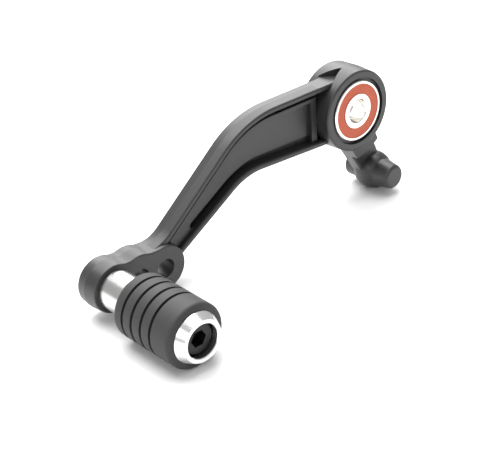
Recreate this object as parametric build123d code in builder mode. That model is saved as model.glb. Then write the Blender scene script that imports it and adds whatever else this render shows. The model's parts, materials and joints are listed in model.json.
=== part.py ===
from build123d import *
import os
from math import atan2, cos, degrees, radians, sin, tan

os.makedirs("parts", exist_ok=True)

# Gear shift lever: a forged aluminium bell crank that turns on two ball bearings, with a
# toe peg bolted to one of three holes at its front end and a link boss below its hub.
#
# Frame: the origin is on the pivot axis in the hub's front face. +X runs forward to the
# toe peg, +Y outward along the pivot axis, +Z up. Millimetres.
# A plane offset from Plane.XZ is a depth behind the hub's front face, so a negative
# offset lies in front of it. Sketches there have X and Z as their two axes.

# ---- Ball bearings: 6000 series, sealed on both sides ----
BEARING_BORE = 10.0
BEARING_DIAMETER = 26.0
BEARING_WIDTH = 8.0
INNER_SHOULDER = 1.6
OUTER_SHOULDER = 1.7
BALL_DIAMETER = 4.762
BALL_COUNT = 7
BALL_CLEARANCE = 0.05
RING_CHAMFER = 0.3
SEAL_RECESS = 0.3
SEAL_THICKNESS = 0.8
SEAL_SEAT_DEPTH = 1.15
SEAL_LIP_GAP = 0.08
CAGE_WALL = 0.3
CAGE_BAND = 0.8
CAGE_POCKET_GAP = 0.06

# ---- Hub ----
HUB_WALL = 4.9
HUB_DRAFT = 3.0
HUB_EDGE = 0.8
BEARING_GAP = 1.0
LAND_HEIGHT = 1.5
RELIEF_WIDTH = 1.5
RELIEF_DEPTH = 1.6
SPACER_WALL = 1.6

# ---- Recess in the top of the hub, in front of its rear lip ----
RECESS_TIP_X = 1.5
RECESS_TIP_DEPTH = 7.5
RECESS_FRONT = 4.6
RECESS_LIP = 3.6
RECESS_BACK_START = 9.0
RECESS_WALL = 1.6

# ---- Arm: a forged I section that bends once ----
ARM_FRONT_WIDTH = 4.4
ARM_BACK_WIDTH = 4.1
FORGING_DRAFT = 5.0
TOP_START_RISE = 15.1
TOP_BEND = (57.5, 15.1)
TOP_END_RISE = 9.6
TOP_BEND_RADIUS = 43.0
BOTTOM_START_DROP = 12.8
BOTTOM_BEND = (58.3, -9.6)
BOTTOM_END_DROP = 4.8
BOTTOM_BEND_RADIUS = 27.0
TOP_FLANGE = 2.6
TOP_GROOVE = 2.0
BOTTOM_FLANGE = 2.6
LOWER_GROOVE = 2.8
LOWER_GROOVE_REACH = 31.0
GROOVE_DEPTH = 2.8
GROOVE_ROUND = 1.3
BACK_POCKET_DEPTH = 1.6
ISLAND_STEP = 2.2
ISLAND_EDGE = 0.4
RIM_OVERLAP = 0.3
RIM_LENGTH = 3.2
RIM_WIDTH = 1.6
DISH_DEPTH = 2.0
DISH_SAG = 0.62
DISH_END = 66.0
FLANGE_ROUND = 0.8
HUB_BLEND = 3.0

# ---- Toe plate ----
PLATE_FRONT_WIDTH = 6.0
PLATE_BACK_WIDTH = 4.8
PEG_REACH = 127.4
PEG_DROP = 30.4
PEG_PITCH = 12.0
PEG_ROW_SLOPE = 3.4
PEG_HOLE_COUNT = 3
PEG_THREAD = 8.0
PLATE_WALL = 6.4
PLATE_ROOT_WALL = 5.9
PLATE_NECK = 5.4
NECK_INSET = 0.4
PLATE_BLEND = 8.0
PLATE_EDGE = 0.6
TOE_TOP_BLEND = 18.0

# ---- Link boss ----
BOSS_POSITION = (-15.9, -35.1)
LINK_ROOT = (-1.2, -6.8)
LINK_ROOT_WIDTH = 16.0
LINK_BOSS_WIDTH = 11.0
LINK_FRONT_WIDTH = 2.1
LINK_BACK_WIDTH = 5.0
LINK_FOOT_WIDTH = 5.1
LINK_FOOT_RISE = 6.1
LINK_EDGE = 1.2
BOSS_BULB_DIAMETER = 16.4
BOSS_COLLAR_DIAMETER = 11.8
BOSS_COLLAR_LENGTH = 10.0
BOSS_BULB_LENGTH = 6.5
BOSS_PEG_ROOT = 12.6
BOSS_PEG_TIP = 10.4
BOSS_PEG_LENGTH = 14.0
BOSS_TIP_ROUND = 1.6
LINK_THREAD = 6.0
LINK_THREAD_DEPTH = 12.0

# ---- Toe peg ----
SLEEVE_DIAMETER = 16.2
SCREW_CLEARANCE = 0.5
SCREW_ENGAGEMENT = 9.5
PEG_LENGTH = 51.1
CAP_FLANGE_STEP = 2.1
CAP_FACE_STEP = 0.3
CAP_FLANGE_EDGE = 0.5
CAP_CONE_LENGTH = 3.6
CAP_FLOOR = 3.0
SCREW_HEAD_DIAMETER = 13.0
SCREW_HEAD_HEIGHT = 8.0
SCREW_HEAD_RECESS = 2.6
SCREW_HEX = 6.0
SCREW_HEX_DEPTH = 4.0
SCREW_CHAMFER = 0.6
HEAD_GAP = 0.25
GRIP_WALL = 4.8
GRIP_START = 15.3
GRIP_RIB_COUNT = 5
GRIP_PITCH = 5.35
GRIP_GROOVE_WIDTH = 1.3
GRIP_GROOVE_DEPTH = 1.6
GRIP_END_ROUND = 1.6

# ---- Derived places ----
hub_radius = BEARING_DIAMETER / 2 + HUB_WALL
hub_width = 2 * BEARING_WIDTH + BEARING_GAP
parting_depth = hub_width / 2
parting = Plane.XZ.offset(parting_depth)
arm_front_depth = parting_depth - ARM_FRONT_WIDTH
arm_back_depth = parting_depth + ARM_BACK_WIDTH
plate_front_depth = parting_depth - PLATE_FRONT_WIDTH
plate_thickness = PLATE_FRONT_WIDTH + PLATE_BACK_WIDTH
peg_row = Vector(-PEG_PITCH * cos(radians(PEG_ROW_SLOPE)), -PEG_PITCH * sin(radians(PEG_ROW_SLOPE)))
peg_position = Vector(PEG_REACH, -PEG_DROP)
peg_holes = [peg_position + peg_row * index for index in range(PEG_HOLE_COUNT)]
root_hole = peg_holes[-1]
hole_radius = PEG_THREAD / 2
hub_heel = (hub_radius, -BOTTOM_START_DROP)

# Corner points of the arm's two edges, from the hub to the toe plate
TOP_EDGE = [(0.0, TOP_START_RISE), TOP_BEND, (root_hole.X, root_hole.Y + TOP_END_RISE)]
BOTTOM_EDGE = [(0.0, -BOTTOM_START_DROP), BOTTOM_BEND, (root_hole.X, root_hole.Y - BOTTOM_END_DROP)]


def inset_edge(edge, radius, inset, side):
    """Corner points and bend radius of an arm edge moved into the arm by inset.

    side is -1 for the top edge, whose bend tightens inwards, and 1 for the bottom one.
    """
    start, bend, end = (Vector(*point) for point in edge)
    first = (bend - start).normalized()
    second = (end - bend).normalized()
    first_normal = Vector(-first.Y, first.X) * side
    second_normal = Vector(-second.Y, second.X) * side
    corner = bend + (first_normal + second_normal) * (inset / (1 + first_normal.dot(second_normal)))
    points = [start + first_normal * inset, corner, end + second_normal * inset]
    return points, radius + side * inset


def top_edge(inset=0.0):
    return inset_edge(TOP_EDGE, TOP_BEND_RADIUS, inset, -1)


def bottom_edge(inset=0.0):
    return inset_edge(BOTTOM_EDGE, BOTTOM_BEND_RADIUS, inset, 1)


def fill_between(upper, lower):
    """Fill the active sketch between two bent edges, each given as (points, radius)."""
    with BuildLine() as outline:
        above = FilletPolyline(*upper[0], radius=upper[1])
        below = FilletPolyline(*lower[0], radius=lower[1])
        Line(above @ 0, below @ 0)
        Line(above @ 1, below @ 1)
    make_face(outline.edges())


def parallel_axis(position):
    """Axis parallel to the pivot through a point in the side view."""
    return Axis((position[0], 0, position[1]), (0, 1, 0))


def turning_plane(position=(0.0, 0.0)):
    """Plane for half profiles of turned pieces: X runs along the axis, Y is the radius."""
    return Plane(origin=(position[0], 0, position[1]), x_dir=(0, 1, 0), z_dir=(1, 0, 0))


# ---- Lever arm ----
island_depth = arm_front_depth + ISLAND_STEP
island_top = TOP_FLANGE + TOP_GROOVE
island_bottom = BOTTOM_FLANGE + LOWER_GROOVE
pocket_floor = island_depth + GROOVE_DEPTH
rim_start = hub_radius - RIM_OVERLAP
rim_end = rim_start + RIM_LENGTH
hub_face_radius = hub_radius - parting_depth * tan(radians(HUB_DRAFT))
link_front_depth = parting_depth - LINK_FRONT_WIDTH
link_back_depth = parting_depth + LINK_BACK_WIDTH
link_foot_depth = parting_depth - LINK_FOOT_WIDTH
boss_back_depth = parting_depth + BOSS_COLLAR_LENGTH


def keep_between(x_start, x_end):
    """Keep of the active sketch only what lies between two distances from the pivot."""
    with Locations(((x_start + x_end) / 2, 0)):
        Rectangle(x_end - x_start, 2 * PEG_REACH, mode=Mode.INTERSECT)


def round_corner(sketch, near, radius):
    """Round the corner of a sketch that lies nearest to a point."""
    fillet(sketch.vertices().sort_by_distance((*near, 0))[0], radius)


groove_run = (Vector(*BOTTOM_EDGE[2]) - Vector(*BOTTOM_BEND)).normalized()
groove_rise = Vector(-groove_run.Y, groove_run.X)
groove_slope = degrees(atan2(groove_run.Y, groove_run.X))


def groove_point(inset):
    """Point at the lower groove's toe end, at an inset from the arm's bottom edge."""
    return Vector(*BOTTOM_BEND) + groove_run * LOWER_GROOVE_REACH + groove_rise * inset


def plate_outline():
    """The toe plate's outline: a row of bosses round the peg holes, with blended necks."""
    with BuildSketch() as plate:
        with Locations(*[(hole.X, hole.Y) for hole in peg_holes[:-1]]):
            Circle(hole_radius + PLATE_WALL)
        with Locations((root_hole.X, root_hole.Y)):
            Circle(hole_radius + PLATE_ROOT_WALL)
        with Locations((peg_holes[1].X, peg_holes[1].Y)):
            neck = 2 * (hole_radius + PLATE_NECK)
            Rectangle(PEG_PITCH * (PEG_HOLE_COUNT - 1), neck, rotation=PEG_ROW_SLOPE)
        fillet(plate.vertices(), PLATE_BLEND)
    return plate.sketch


# The dish in the web: deepest beside the hub rim, running out towards the toe.
with BuildPart() as dish:
    with BuildSketch(Plane.XZ.offset(island_depth)):
        fill_between(top_edge(island_top + RIM_WIDTH), bottom_edge(BOTTOM_FLANGE))
    extrude(amount=DISH_DEPTH)
    with BuildSketch(Plane.XY.offset(-PEG_REACH)):
        with BuildLine():
            floor = ThreePointArc(
                (rim_end, -island_depth - DISH_DEPTH),
                ((rim_end + DISH_END) / 2, -island_depth - DISH_DEPTH * DISH_SAG),
                (DISH_END, -island_depth),
            )
            Polyline(floor @ 1, (rim_end, -island_depth), floor @ 0)
        make_face()
    extrude(amount=2 * PEG_REACH, mode=Mode.INTERSECT)

# The lower groove: a slot beside the bottom flange with a rounded toe end
with BuildSketch() as lower_groove:
    fill_between(bottom_edge(island_bottom), bottom_edge(BOTTOM_FLANGE))
    with Locations(Location(tuple(groove_point(BOTTOM_FLANGE)), groove_slope)):
        Rectangle(PEG_REACH, 4 * LOWER_GROOVE, align=(Align.MIN, Align.CENTER), mode=Mode.SUBTRACT)
    for edge_inset in (island_bottom, BOTTOM_FLANGE):
        round_corner(lower_groove, groove_point(edge_inset), GROOVE_ROUND)
    keep_between(rim_end, PEG_REACH)

# The web's raised island between the two front grooves, and the rim beside the hub
with BuildPart() as island:
    with BuildSketch(Plane.XZ.offset(pocket_floor)):
        fill_between(top_edge(island_top), bottom_edge(BOTTOM_FLANGE / 2))
        keep_between(rim_start, PEG_REACH)
        add(lower_groove.sketch, mode=Mode.SUBTRACT)
    extrude(amount=island_depth - pocket_floor)
    front_rim = island.edges().filter_by_position(Axis.Y, -island_depth, -island_depth)
    fillet(front_rim.filter_by(lambda edge: edge.length > RIM_OVERLAP), ISLAND_EDGE)
    add(dish.part, mode=Mode.SUBTRACT)

# The link arm, and the wider foot where it leaves the hub
with BuildPart() as link_arm:
    for front_depth, reach in ((link_front_depth, None), (link_foot_depth, hub_radius + LINK_FOOT_RISE)):
        with BuildSketch(Plane.XZ.offset(front_depth)) as link_side:
            with Locations(BOSS_POSITION):
                Circle(LINK_BOSS_WIDTH / 2)
            with Locations(LINK_ROOT):
                Circle(LINK_ROOT_WIDTH / 2)
            make_hull()
            if reach:
                Circle(reach, mode=Mode.INTERSECT)
        extrude(amount=link_back_depth - front_depth)
    fillet(link_arm.edges().filter_by_position(Axis.Y, -link_front_depth, -link_front_depth), LINK_EDGE)
    fillet(link_arm.edges().filter_by_position(Axis.Y, -link_back_depth, -link_back_depth), LINK_EDGE)

# The arm's top edge runs down the slope and turns along the toe plate's neck
slope_run = (Vector(*TOP_EDGE[2]) - Vector(*TOP_BEND)).normalized()
neck_height = hole_radius + PLATE_NECK - NECK_INSET
row_run = peg_row.normalized()
row_normal = Vector(row_run.Y, -row_run.X)
neck_start = root_hole + row_normal * neck_height
along = (neck_start - Vector(*TOP_BEND)).cross(row_run).Z / slope_run.cross(row_run).Z
toe_corner = Vector(*TOP_BEND) + slope_run * along
neck_end = peg_holes[1] + row_normal * neck_height
arm_top = [Vector(*TOP_EDGE[0]), Vector(*TOP_BEND), toe_corner, neck_end], (TOP_BEND_RADIUS, TOE_TOP_BLEND)

# Its bottom edge runs on into the toe plate's first boss
arm_end = Vector(*BOTTOM_EDGE[2]) + groove_run * hole_radius
arm_bottom = [Vector(*BOTTOM_EDGE[0]), Vector(*BOTTOM_BEND), arm_end], BOTTOM_BEND_RADIUS

# Hub and toe plate, each with its edges broken
with BuildPart() as hub:
    with BuildSketch(parting):
        Circle(hub_radius)
    extrude(amount=parting_depth, both=True, taper=HUB_DRAFT)
    hub_rims = hub.edges().filter_by(GeomType.CIRCLE).group_by(Axis.Y)
    fillet(hub_rims[0] + hub_rims[-1], HUB_EDGE)

with BuildPart() as toe_plate:
    for side, width in ((-1, PLATE_FRONT_WIDTH), (1, PLATE_BACK_WIDTH)):
        with BuildSketch(parting):
            add(plate_outline())
        extrude(amount=side * width, taper=FORGING_DRAFT)
    plate_rims = toe_plate.edges().group_by(Axis.Y)
    fillet(plate_rims[0] + plate_rims[-1], PLATE_EDGE)

with BuildPart() as lever_arm:
    # I section, drafted both ways from the parting plane and blended into the hub
    for side, width in ((-1, ARM_FRONT_WIDTH), (1, ARM_BACK_WIDTH)):
        with BuildSketch(parting) as arm_side:
            fill_between(arm_top, arm_bottom)
            Circle(hub_face_radius)
            round_corner(arm_side, hub_heel, HUB_BLEND)
        extrude(amount=side * width, taper=FORGING_DRAFT)
    with BuildSketch(Plane.XZ.offset(arm_front_depth)):
        fill_between(top_edge(TOP_FLANGE), bottom_edge(BOTTOM_FLANGE))
    extrude(amount=pocket_floor - arm_front_depth, mode=Mode.SUBTRACT)
    with BuildSketch(Plane.XZ.offset(arm_back_depth)):
        fill_between(top_edge(TOP_FLANGE), bottom_edge(BOTTOM_FLANGE))
    extrude(amount=-BACK_POCKET_DEPTH, mode=Mode.SUBTRACT)
    for depth in (arm_front_depth, arm_back_depth):
        rims = lever_arm.edges().filter_by_position(Axis.Y, -depth, -depth)
        long_rims = rims.filter_by(lambda edge: edge.length > 3 * TOP_FLANGE)
        fillet(long_rims.filter_by(lambda edge: edge.center().X < root_hole.X - hole_radius), FLANGE_ROUND)
    add(island.part)
    add(hub.part)
    add(toe_plate.part)
    add(link_arm.part)

    # Boss: collar, bulb and round-ended peg in one turned form
    with BuildSketch(turning_plane(BOSS_POSITION)):
        with BuildLine():
            collar = Polyline(
                (-boss_back_depth, 0),
                (-boss_back_depth, BOSS_COLLAR_DIAMETER / 2),
                (-link_back_depth, BOSS_COLLAR_DIAMETER / 2),
            )
            bulb = ThreePointArc(
                collar @ 1,
                (-parting_depth, BOSS_BULB_DIAMETER / 2),
                (BOSS_BULB_LENGTH - parting_depth, BOSS_PEG_ROOT / 2),
            )
            tip = FilletPolyline(
                bulb @ 1,
                (BOSS_PEG_LENGTH - parting_depth, BOSS_PEG_TIP / 2),
                (BOSS_PEG_LENGTH - parting_depth, 0),
                radius=BOSS_TIP_ROUND,
            )
            Line(tip @ 1, collar @ 0)
        make_face()
    revolve(axis=parallel_axis(BOSS_POSITION))

    # Recess in the top of the hub
    with BuildSketch(Plane.XY.offset(BEARING_DIAMETER / 2 + RECESS_WALL)):
        with BuildLine():
            Polyline(
                (RECESS_TIP_X, -RECESS_TIP_DEPTH),
                (RECESS_BACK_START, RECESS_LIP - hub_width),
                (hub_radius, RECESS_LIP - hub_width),
                (hub_radius, -RECESS_FRONT),
                (RECESS_BACK_START, -RECESS_FRONT),
                close=True,
            )
        make_face()
    extrude(amount=hub_radius, mode=Mode.SUBTRACT)

    # Bearing seats, the land between them and the relief round each bearing
    with Locations(parting):
        Cylinder(BEARING_DIAMETER / 2 - LAND_HEIGHT, hub_width, mode=Mode.SUBTRACT)
    for depth in (BEARING_WIDTH / 2, hub_width - BEARING_WIDTH / 2):
        with Locations(Plane.XZ.offset(depth)):
            Cylinder(BEARING_DIAMETER / 2, BEARING_WIDTH, mode=Mode.SUBTRACT)
    for depth in (RELIEF_DEPTH / 2, hub_width - RELIEF_DEPTH / 2):
        with Locations(Plane.XZ.offset(depth)):
            Cylinder(BEARING_DIAMETER / 2 + RELIEF_WIDTH, RELIEF_DEPTH, mode=Mode.SUBTRACT)

    # Threaded holes: the peg row through the plate, and the link stud's from behind
    for hole in peg_holes:
        with Locations(Plane.XZ.offset(plate_front_depth + plate_thickness / 2)):
            with Locations((hole.X, hole.Y)):
                Cylinder(hole_radius, plate_thickness, mode=Mode.SUBTRACT)
    with Locations(Plane.XZ.offset(boss_back_depth - LINK_THREAD_DEPTH / 2)):
        with Locations(BOSS_POSITION):
            Cylinder(LINK_THREAD / 2, LINK_THREAD_DEPTH, mode=Mode.SUBTRACT)

lever_arm.part.label = "lever_arm"
export_step(lever_arm.part, "parts/lever_arm.step")


# ---- Ball bearings, front and rear ----
pitch_radius = (BEARING_BORE + BEARING_DIAMETER) / 4
inner_radius = pitch_radius - INNER_SHOULDER
outer_radius = pitch_radius + OUTER_SHOULDER
seat_radius = outer_radius + SEAL_SEAT_DEPTH
ball_radius = BALL_DIAMETER / 2
race_radius = ball_radius + BALL_CLEARANCE
seal_reach = SEAL_RECESS + SEAL_THICKNESS
pocket_radius = ball_radius + CAGE_POCKET_GAP


def export_piece(builder, name):
    builder.part.label = name
    export_step(builder.part, f"parts/{name}.step")


def make_bearing(prefix, centre_depth):
    """Rings, balls, cage and two seals of one bearing, centred at a depth on the pivot axis."""
    middle = -centre_depth
    half = BEARING_WIDTH / 2

    with BuildPart() as outer_ring:
        with BuildSketch(turning_plane()):
            with Locations((middle, (outer_radius + BEARING_DIAMETER / 2) / 2)):
                Rectangle(BEARING_WIDTH, BEARING_DIAMETER / 2 - outer_radius)
            for side in (-1, 1):
                with Locations((middle + side * (half - seal_reach / 2), (outer_radius + seat_radius) / 2)):
                    Rectangle(seal_reach, seat_radius - outer_radius, mode=Mode.SUBTRACT)
            with Locations((middle, pitch_radius)):
                Circle(race_radius, mode=Mode.SUBTRACT)
        revolve(axis=Axis.Y)
        rims = outer_ring.edges().filter_by(GeomType.CIRCLE).filter_by(
            lambda edge: abs(edge.radius - BEARING_DIAMETER / 2) < 0.01
        )
        chamfer(rims, RING_CHAMFER)
    export_piece(outer_ring, f"{prefix}_outer_ring")

    with BuildPart() as inner_ring:
        with BuildSketch(turning_plane()):
            with Locations((middle, (BEARING_BORE / 2 + inner_radius) / 2)):
                Rectangle(BEARING_WIDTH, inner_radius - BEARING_BORE / 2)
            with Locations((middle, pitch_radius)):
                Circle(race_radius, mode=Mode.SUBTRACT)
        revolve(axis=Axis.Y)
        rims = inner_ring.edges().filter_by(GeomType.CIRCLE).filter_by(
            lambda edge: abs(edge.radius - BEARING_BORE / 2) < 0.01
        )
        chamfer(rims, RING_CHAMFER)
    export_piece(inner_ring, f"{prefix}_inner_ring")

    # Cage: a ring with a radial pocket for each ball
    with BuildPart() as cage:
        with BuildSketch(Plane.XZ.offset(centre_depth)):
            Circle(pitch_radius + CAGE_BAND)
            Circle(pitch_radius - CAGE_BAND, mode=Mode.SUBTRACT)
        extrude(amount=pocket_radius + CAGE_WALL, both=True)
        with Locations(Plane.XZ.offset(centre_depth)):
            with PolarLocations(pitch_radius, BALL_COUNT):
                Cylinder(pocket_radius, 4 * CAGE_BAND, rotation=(0, 90, 0), mode=Mode.SUBTRACT)
    export_piece(cage, f"{prefix}_cage")

    for index in range(BALL_COUNT):
        with BuildPart() as ball:
            with Locations(Plane.XZ.offset(centre_depth)):
                with PolarLocations(pitch_radius, 1, start_angle=360 / BALL_COUNT * index):
                    Sphere(ball_radius)
        export_piece(ball, f"{prefix}_ball_{index + 1}")

    for name, side in (("outer_seal", 1), ("inner_seal", -1)):
        with BuildPart() as seal:
            with BuildSketch(turning_plane()):
                lip_radius = inner_radius + SEAL_LIP_GAP
                seal_middle = middle + side * (half - SEAL_RECESS - SEAL_THICKNESS / 2)
                with Locations((seal_middle, (lip_radius + seat_radius) / 2)):
                    Rectangle(SEAL_THICKNESS, seat_radius - lip_radius)
            revolve(axis=Axis.Y)
        export_piece(seal, f"{prefix}_{name}")


make_bearing("front", BEARING_WIDTH / 2)
make_bearing("rear", hub_width - BEARING_WIDTH / 2)

with BuildPart() as bearing_spacer:
    with BuildSketch(turning_plane()):
        with Locations((-hub_width / 2, BEARING_BORE / 2 + SPACER_WALL / 2)):
            Rectangle(BEARING_GAP, SPACER_WALL)
    revolve(axis=Axis.Y)
export_piece(bearing_spacer, "bearing_spacer")


# ---- Toe peg ----
peg_centre = (PEG_REACH, -PEG_DROP)
peg_axis = parallel_axis(peg_centre)
peg_profile = turning_plane(peg_centre)
sleeve_radius = SLEEVE_DIAMETER / 2
flange_radius = sleeve_radius + CAP_FLANGE_STEP
grip_radius = sleeve_radius + GRIP_WALL
clearance_radius = (PEG_THREAD + SCREW_CLEARANCE) / 2
head_bore_radius = SCREW_HEAD_DIAMETER / 2 + HEAD_GAP
cap_face = PEG_LENGTH - plate_front_depth
head_seat = cap_face - SCREW_HEAD_RECESS - SCREW_HEAD_HEIGHT
cap_back = head_seat - CAP_FLOOR
flange_front = cap_face - CAP_CONE_LENGTH
flange_back = flange_front - CAP_FLANGE_EDGE
grip_rear = GRIP_START - plate_front_depth
grip_length = flange_back - grip_rear

with BuildPart() as peg_sleeve:
    with BuildSketch(Plane.XZ.offset(-cap_back)):
        with Locations(peg_centre):
            Circle(sleeve_radius)
            Circle(clearance_radius, mode=Mode.SUBTRACT)
    extrude(amount=cap_back + plate_front_depth)
    chamfer(peg_sleeve.edges().filter_by(GeomType.CIRCLE), RING_CHAMFER)
export_piece(peg_sleeve, "peg_sleeve")

with BuildPart() as peg_cap:
    with BuildSketch(peg_profile):
        with BuildLine():
            Polyline(
                (cap_back, clearance_radius),
                (cap_back, sleeve_radius),
                (flange_back, sleeve_radius),
                (flange_back, flange_radius),
                (flange_front, flange_radius),
                (cap_face, sleeve_radius + CAP_FACE_STEP),
                (cap_face, head_bore_radius),
                (head_seat, head_bore_radius),
                (head_seat, clearance_radius),
                close=True,
            )
        make_face()
    revolve(axis=peg_axis)
    bore_rim = peg_cap.edges().filter_by(GeomType.CIRCLE).filter_by_position(Axis.Y, cap_face, cap_face)
    chamfer(bore_rim.sort_by(SortBy.RADIUS)[0], RING_CHAMFER)
export_piece(peg_cap, "peg_cap")

with BuildPart() as peg_screw:
    with BuildSketch(Plane.XZ.offset(-head_seat)):
        with Locations(peg_centre):
            Circle(SCREW_HEAD_DIAMETER / 2)
    extrude(amount=-SCREW_HEAD_HEIGHT)
    with BuildSketch(Plane.XZ.offset(-head_seat)):
        with Locations(peg_centre):
            Circle(PEG_THREAD / 2)
    extrude(amount=head_seat + plate_front_depth + SCREW_ENGAGEMENT)
    end_rims = peg_screw.edges().group_by(Axis.Y)
    chamfer(end_rims[0] + end_rims[-1], SCREW_CHAMFER)
    with BuildSketch(Plane.XZ.offset(-head_seat - SCREW_HEAD_HEIGHT)):
        with Locations(peg_centre):
            RegularPolygon(SCREW_HEX / 2, 6, major_radius=False)
    extrude(amount=SCREW_HEX_DEPTH, mode=Mode.SUBTRACT)
export_piece(peg_screw, "peg_screw")

# Rubber grip: ribs with narrow grooves between them, the front rib taking what is left
with BuildPart() as grip:
    with BuildSketch(peg_profile) as grip_section:
        with Locations((grip_rear + grip_length / 2, (sleeve_radius + grip_radius) / 2)):
            Rectangle(grip_length, grip_radius - sleeve_radius)
        outer_corners = grip_section.vertices().filter_by(lambda v: v.Y > grip_radius - GRIP_GROOVE_DEPTH)
        fillet(outer_corners, GRIP_END_ROUND)
        for groove in range(1, GRIP_RIB_COUNT):
            with Locations((grip_rear + groove * GRIP_PITCH, grip_radius)):
                Rectangle(GRIP_GROOVE_WIDTH, 2 * GRIP_GROOVE_DEPTH, mode=Mode.SUBTRACT)
    revolve(axis=peg_axis)
export_piece(grip, "peg_grip")
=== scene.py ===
# %% [markdown]
# # A forged gear shift lever
#
# The lever is a black forging that turns on two sealed ball bearings. Its toe peg is a
# turned steel tube with a ribbed rubber grip and a bright cap. The measured model comes in
# as a fixed frame. This lesson gives every piece its finish.

# %% Load the measured frame
import json
from math import cos, pi, radians, sin, sqrt, tan

import bmesh
import bpy
from mathutils import Matrix, Vector


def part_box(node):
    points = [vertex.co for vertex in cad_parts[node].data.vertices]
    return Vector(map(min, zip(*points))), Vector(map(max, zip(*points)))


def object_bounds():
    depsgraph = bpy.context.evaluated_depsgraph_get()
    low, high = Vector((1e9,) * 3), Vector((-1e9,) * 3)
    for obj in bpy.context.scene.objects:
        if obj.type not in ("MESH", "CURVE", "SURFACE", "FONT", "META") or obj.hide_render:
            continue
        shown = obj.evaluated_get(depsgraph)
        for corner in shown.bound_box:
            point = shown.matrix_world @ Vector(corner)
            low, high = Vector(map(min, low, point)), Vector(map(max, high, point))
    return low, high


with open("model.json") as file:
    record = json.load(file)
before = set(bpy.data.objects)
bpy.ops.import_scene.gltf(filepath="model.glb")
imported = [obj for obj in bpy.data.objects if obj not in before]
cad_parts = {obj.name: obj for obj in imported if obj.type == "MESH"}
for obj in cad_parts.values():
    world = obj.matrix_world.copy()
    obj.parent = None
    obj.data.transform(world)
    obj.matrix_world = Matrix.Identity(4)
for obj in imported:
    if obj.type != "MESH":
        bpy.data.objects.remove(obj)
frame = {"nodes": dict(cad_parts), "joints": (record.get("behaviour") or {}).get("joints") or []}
nodes = frame["nodes"]
cad_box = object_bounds()
MM = 0.001

print("pieces in the frame:", len(nodes))
print("box in mm:", [[round(v / MM, 1) for v in corner] for corner in cad_box])

# %% [markdown]
# ## Where things are
#
# The two axes are read from the frame: the pivot axis from its joint, the toe peg's axis
# from its tube. Nothing is placed by eye.

# %% Axes of the hub and the toe peg
PIVOT_JOINT = next(joint for joint in frame["joints"] if joint["name"] == "pivot")
HUB_CENTRE = Vector(PIVOT_JOINT["pos_m"])


def centre_of(node):
    low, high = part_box(node)
    return (low + high) / 2


PEG_CENTRE = centre_of("peg_sleeve")
PARTING_Y = HUB_CENTRE.y
print("pivot axis in mm:", [round(v / MM, 2) for v in HUB_CENTRE])
print("peg axis in mm:", [round(v / MM, 2) for v in PEG_CENTRE])

# %% [markdown]
# ## Camera
#
# A long lens close to 100 mm keeps the arm's far end from shrinking. The camera looks down
# on the front of the hub, so that the toe peg comes towards the viewer.

# %% Camera
AIM = Vector((55.1, -8.5, -34.5)) * MM
AIM_DISTANCE = 568.3 * MM
CAMERA_AZIMUTH = radians(140.18)
CAMERA_ELEVATION = radians(28.87)
CAMERA_ROLL = radians(-3.64)
LENS_MM = 100.1
SENSOR_MM = 36.0

looking = Vector((
    -sin(CAMERA_AZIMUTH) * cos(CAMERA_ELEVATION),
    cos(CAMERA_AZIMUTH) * cos(CAMERA_ELEVATION),
    -sin(CAMERA_ELEVATION),
))
lens = bpy.data.cameras.new("camera")
lens.lens = LENS_MM
lens.sensor_width = SENSOR_MM
lens.clip_start = 0.01
camera = bpy.data.objects.new("camera", lens)
bpy.context.scene.collection.objects.link(camera)
level = looking.to_track_quat("-Z", "Y").to_matrix().to_4x4()
camera.matrix_world = Matrix.Translation(AIM - looking * AIM_DISTANCE) @ level @ Matrix.Rotation(CAMERA_ROLL, 4, "Z")
bpy.context.scene.camera = camera
print("camera at mm:", [round(v / MM, 1) for v in camera.matrix_world.translation])

# %% [markdown]
# ## Floor and studio light
#
# A pale floor under the lever, a wide soft light overhead and behind it, and a dim world.
# Black parts are seen by what they reflect, so the lights are large: each one paints a long
# smooth band along the forging's rounded edges.

# %% Floor
FLOOR_SIZE = 12.0
FLOOR_TONE = 0.86


def plain_material(name, colour, roughness, metallic=0.0):
    """A material with its shader and nothing else; returns the material, its tree and shader."""
    material = bpy.data.materials.new(name)
    material.use_nodes = True
    shader = material.node_tree.nodes["Principled BSDF"]
    shader.inputs["Base Color"].default_value = (*colour, 1.0)
    shader.inputs["Roughness"].default_value = roughness
    shader.inputs["Metallic"].default_value = metallic
    return material, material.node_tree, shader


floor_z = cad_box[0][2]
floor_mesh = bpy.data.meshes.new("floor")
shape = bmesh.new()
bmesh.ops.create_grid(shape, x_segments=1, y_segments=1, size=FLOOR_SIZE / 2)
bmesh.ops.translate(shape, verts=shape.verts, vec=(AIM.x, AIM.y, floor_z))
shape.to_mesh(floor_mesh)
shape.free()
floor = bpy.data.objects.new("floor", floor_mesh)
bpy.context.scene.collection.objects.link(floor)
paper, _, _ = plain_material("studio paper", (FLOOR_TONE,) * 3, 0.9)
floor_mesh.materials.append(paper)
print("floor at mm:", round(floor_z / MM, 2))

# %% Lights
def area_light(name, place, aim, size, watts):
    """A square softbox at place that faces aim."""
    lamp = bpy.data.lights.new(name, "AREA")
    lamp.shape = "RECTANGLE"
    lamp.size, lamp.size_y = size
    lamp.energy = watts
    light = bpy.data.objects.new(name, lamp)
    bpy.context.scene.collection.objects.link(light)
    facing = (Vector(aim) - Vector(place)).to_track_quat("-Z", "Y").to_matrix().to_4x4()
    light.matrix_world = Matrix.Translation(Vector(place)) @ facing
    return light


area_light("overhead softbox", (0.0, -0.35, 1.3), AIM, (1.4, 1.2), 34.0)
area_light("back softbox", (-0.9, -1.5, 0.9), AIM, (1.6, 0.9), 26.0)
area_light("left fill", (1.6, 0.2, 0.8), AIM, (0.8, 0.8), 6.0)

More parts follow.
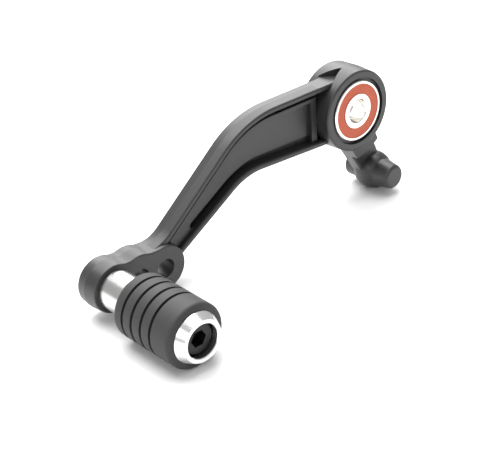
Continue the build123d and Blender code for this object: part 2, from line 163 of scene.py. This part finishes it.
world = bpy.data.worlds.new("studio")
world.use_nodes = True
world.node_tree.nodes["Background"].inputs["Color"].default_value = (1.0, 1.0, 1.0, 1.0)
world.node_tree.nodes["Background"].inputs["Strength"].default_value = 0.55
bpy.context.scene.world = world
bpy.context.scene.view_settings.view_transform = "Standard"

# %% [markdown]
# ## Node helpers

# %% Small helpers for building node trees
def add_node(tree, kind, **settings):
    node = tree.nodes.new(kind)
    for key, value in settings.items():
        setattr(node, key, value)
    return node


def math_node(tree, operation, *values):
    """A Math node; each value is a number or an output socket."""
    node = add_node(tree, "ShaderNodeMath", operation=operation)
    for index, value in enumerate(values):
        if isinstance(value, bpy.types.NodeSocket):
            tree.links.new(value, node.inputs[index])
        else:
            node.inputs[index].default_value = value
    return node.outputs["Value"]


def object_coordinates(tree):
    return add_node(tree, "ShaderNodeTexCoord").outputs["Object"]


def noise(tree, coordinates, scale, detail=2.0, roughness=0.5):
    node = add_node(tree, "ShaderNodeTexNoise")
    node.inputs["Scale"].default_value = scale
    node.inputs["Detail"].default_value = detail
    node.inputs["Roughness"].default_value = roughness
    tree.links.new(coordinates, node.inputs["Vector"])
    return node.outputs["Fac"]


def blend_range(tree, value, low, high, out_low=0.0, out_high=1.0):
    """Maps value from low..high to out_low..out_high, clamped."""
    node = add_node(tree, "ShaderNodeMapRange")
    tree.links.new(value, node.inputs["Value"])
    for name, number in (("From Min", low), ("From Max", high), ("To Min", out_low), ("To Max", out_high)):
        node.inputs[name].default_value = number
    return node.outputs["Result"]


def mix_colour(tree, factor, first, second):
    node = add_node(tree, "ShaderNodeMix", data_type="RGBA")
    tree.links.new(factor, node.inputs["Factor"])
    for socket, colour in ((node.inputs[6], first), (node.inputs[7], second)):
        if isinstance(colour, bpy.types.NodeSocket):
            tree.links.new(colour, socket)
        else:
            socket.default_value = (*colour, 1.0)
    return node.outputs[2]


def bump(tree, shader, height, distance, strength=1.0):
    node = add_node(tree, "ShaderNodeBump")
    node.inputs["Strength"].default_value = strength
    node.inputs["Distance"].default_value = distance
    tree.links.new(height, node.inputs["Height"])
    tree.links.new(node.outputs["Normal"], shader.inputs["Normal"])


def dress(material, *names):
    for name in names:
        mesh = nodes[name].data
        mesh.materials.clear()
        mesh.materials.append(material)


# %% First materials
forging, tree, shader = plain_material("black anodised forging", (0.022, 0.022, 0.023), 0.42)
shader.inputs["Metallic"].default_value = 0.0
shader.inputs["Specular IOR Level"].default_value = 0.6
here = object_coordinates(tree)
bump(tree, shader, noise(tree, here, 3200.0, 3.0, 0.6), 0.00004, 0.6)
dress(forging, "lever_arm")

rubber, tree, shader = plain_material("moulded rubber", (0.03, 0.03, 0.031), 0.62)
bump(tree, shader, noise(tree, object_coordinates(tree), 2500.0, 3.0, 0.6), 0.00005, 0.6)
dress(rubber, "peg_grip")

steel, _, _ = plain_material("turned steel", (0.62, 0.62, 0.61), 0.25, 1.0)
dress(steel, "peg_sleeve", "bearing_spacer")
bright, _, _ = plain_material("turned aluminium", (0.86, 0.86, 0.87), 0.2, 1.0)
dress(bright, "peg_cap")
black, _, _ = plain_material("black oxide", (0.02, 0.02, 0.021), 0.35, 0.6)
dress(black, "peg_screw")
ring, _, _ = plain_material("ground steel", (0.88, 0.86, 0.82), 0.2, 1.0)
dress(ring, *[n for n in nodes if "ring" in n and "spacer" not in n])
seal, _, _ = plain_material("seal rubber", (0.52, 0.09, 0.035), 0.55)
dress(seal, *[n for n in nodes if "seal" in n])
dress(ring, *[n for n in nodes if "ball" in n or "cage" in n])
